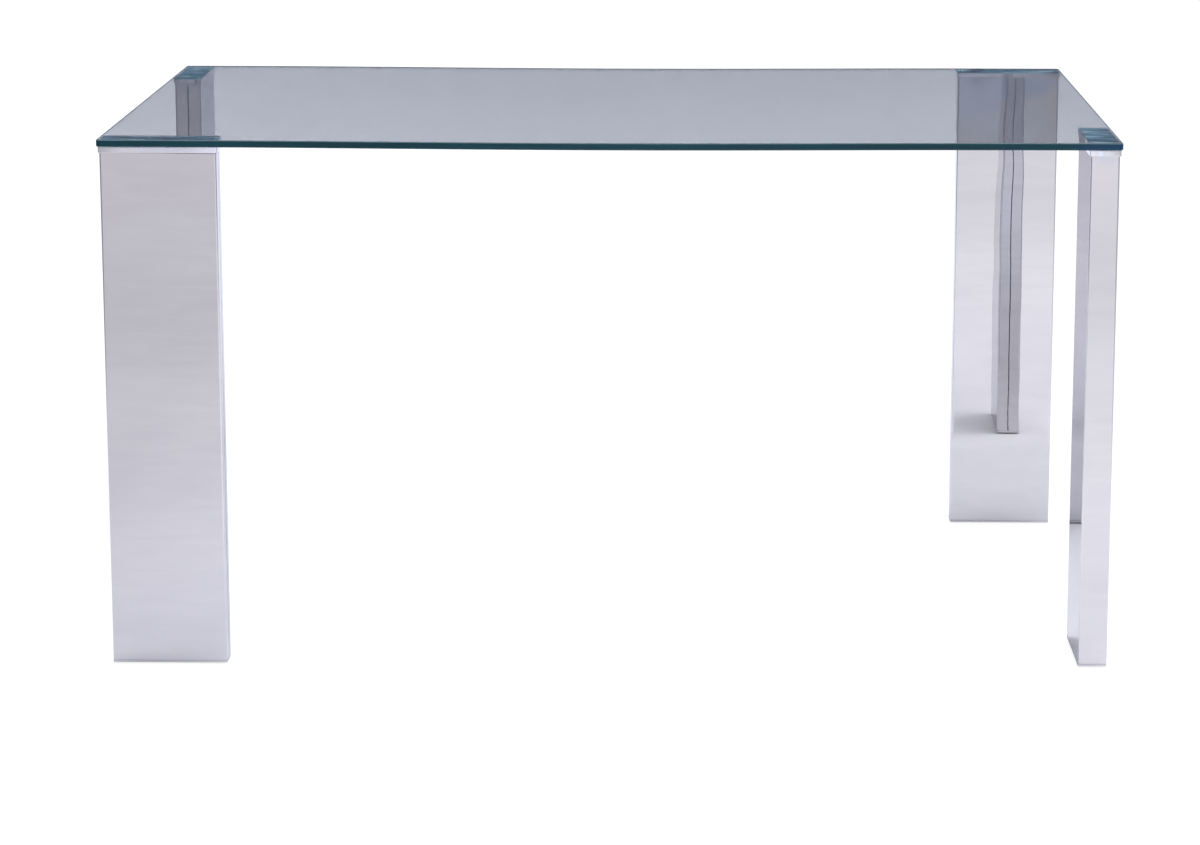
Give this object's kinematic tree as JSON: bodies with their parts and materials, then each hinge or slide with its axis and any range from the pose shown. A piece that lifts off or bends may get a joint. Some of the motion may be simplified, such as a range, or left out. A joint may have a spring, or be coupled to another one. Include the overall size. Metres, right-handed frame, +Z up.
{
  "type": "glass-topped table",
  "caption": "Rectangular clear glass top on folded polished-steel slab legs set in a pinwheel, each bonded through a mounting plate and standing on levelling glides.",
  "frame": {"origin": "middle of the table on the floor", "axes": "+X along the length to the right, +Y from the front to the back, +Z up"},
  "size_m": [1.4, 0.9, 0.74],
  "materials": {
    "clear_glass": "clear float glass, polished edge",
    "polished_steel": "mirror-polished stainless steel sheet",
    "zinc_steel": "zinc-plated steel",
    "black_nylon": "moulded nylon"
  },
  "bodies": {
    "table": {"glass_top": "clear_glass", "front_left_leg_shell": "polished_steel", "front_left_mounting_plate": "polished_steel", "front_left_top_end_plate": "polished_steel", "front_left_foot_plate": "polished_steel", "front_left_clamp_plate": "zinc_steel", "front_left_tie_rod": "zinc_steel", "front_left_tie_washer": "zinc_steel", "front_left_tie_nut": "zinc_steel", "front_left_outer_glide_nut_plate": "zinc_steel", "front_left_inner_glide_nut_plate": "zinc_steel", "front_right_leg_shell": "polished_steel", "front_right_mounting_plate": "polished_steel", "front_right_top_end_plate": "polished_steel", "front_right_foot_plate": "polished_steel", "front_right_clamp_plate": "zinc_steel", "front_right_tie_rod": "zinc_steel", "front_right_tie_washer": "zinc_steel", "front_right_tie_nut": "zinc_steel", "front_right_outer_glide_nut_plate": "zinc_steel", "front_right_inner_glide_nut_plate": "zinc_steel", "back_right_leg_shell": "polished_steel", "back_right_mounting_plate": "polished_steel", "back_right_top_end_plate": "polished_steel", "back_right_foot_plate": "polished_steel", "back_right_clamp_plate": "zinc_steel", "back_right_tie_rod": "zinc_steel", "back_right_tie_washer": "zinc_steel", "back_right_tie_nut": "zinc_steel", "back_right_outer_glide_nut_plate": "zinc_steel", "back_right_inner_glide_nut_plate": "zinc_steel", "back_left_leg_shell": "polished_steel", "back_left_mounting_plate": "polished_steel", "back_left_top_end_plate": "polished_steel", "back_left_foot_plate": "polished_steel", "back_left_clamp_plate": "zinc_steel", "back_left_tie_rod": "zinc_steel", "back_left_tie_washer": "zinc_steel", "back_left_tie_nut": "zinc_steel", "back_left_outer_glide_nut_plate": "zinc_steel", "back_left_inner_glide_nut_plate": "zinc_steel"},
    "front_left_outer_glide": {"front_left_outer_glide_pad": "black_nylon", "front_left_outer_glide_stem": "zinc_steel"},
    "front_left_inner_glide": {"front_left_inner_glide_pad": "black_nylon", "front_left_inner_glide_stem": "zinc_steel"},
    "front_right_outer_glide": {"front_right_outer_glide_pad": "black_nylon", "front_right_outer_glide_stem": "zinc_steel"},
    "front_right_inner_glide": {"front_right_inner_glide_pad": "black_nylon", "front_right_inner_glide_stem": "zinc_steel"},
    "back_right_outer_glide": {"back_right_outer_glide_pad": "black_nylon", "back_right_outer_glide_stem": "zinc_steel"},
    "back_right_inner_glide": {"back_right_inner_glide_pad": "black_nylon", "back_right_inner_glide_stem": "zinc_steel"},
    "back_left_outer_glide": {"back_left_outer_glide_pad": "black_nylon", "back_left_outer_glide_stem": "zinc_steel"},
    "back_left_inner_glide": {"back_left_inner_glide_pad": "black_nylon", "back_left_inner_glide_stem": "zinc_steel"}
  },
  "joints": [
    {"name": "front_left_outer_glide_travel", "type": "slide", "parent": "table", "child": "front_left_outer_glide", "axis": [0, 0, -1], "range_m": [0, 0.01]},
    {"name": "front_left_inner_glide_travel", "type": "slide", "parent": "table", "child": "front_left_inner_glide", "axis": [0, 0, -1], "range_m": [0, 0.01]},
    {"name": "front_right_outer_glide_travel", "type": "slide", "parent": "table", "child": "front_right_outer_glide", "axis": [0, 0, -1], "range_m": [0, 0.01]},
    {"name": "front_right_inner_glide_travel", "type": "slide", "parent": "table", "child": "front_right_inner_glide", "axis": [0, 0, -1], "range_m": [0, 0.01]},
    {"name": "back_right_outer_glide_travel", "type": "slide", "parent": "table", "child": "back_right_outer_glide", "axis": [0, 0, -1], "range_m": [0, 0.01]},
    {"name": "back_right_inner_glide_travel", "type": "slide", "parent": "table", "child": "back_right_inner_glide", "axis": [0, 0, -1], "range_m": [0, 0.01]},
    {"name": "back_left_outer_glide_travel", "type": "slide", "parent": "table", "child": "back_left_outer_glide", "axis": [0, 0, -1], "range_m": [0, 0.01]},
    {"name": "back_left_inner_glide_travel", "type": "slide", "parent": "table", "child": "back_left_inner_glide", "axis": [0, 0, -1], "range_m": [0, 0.01]}
  ]
}
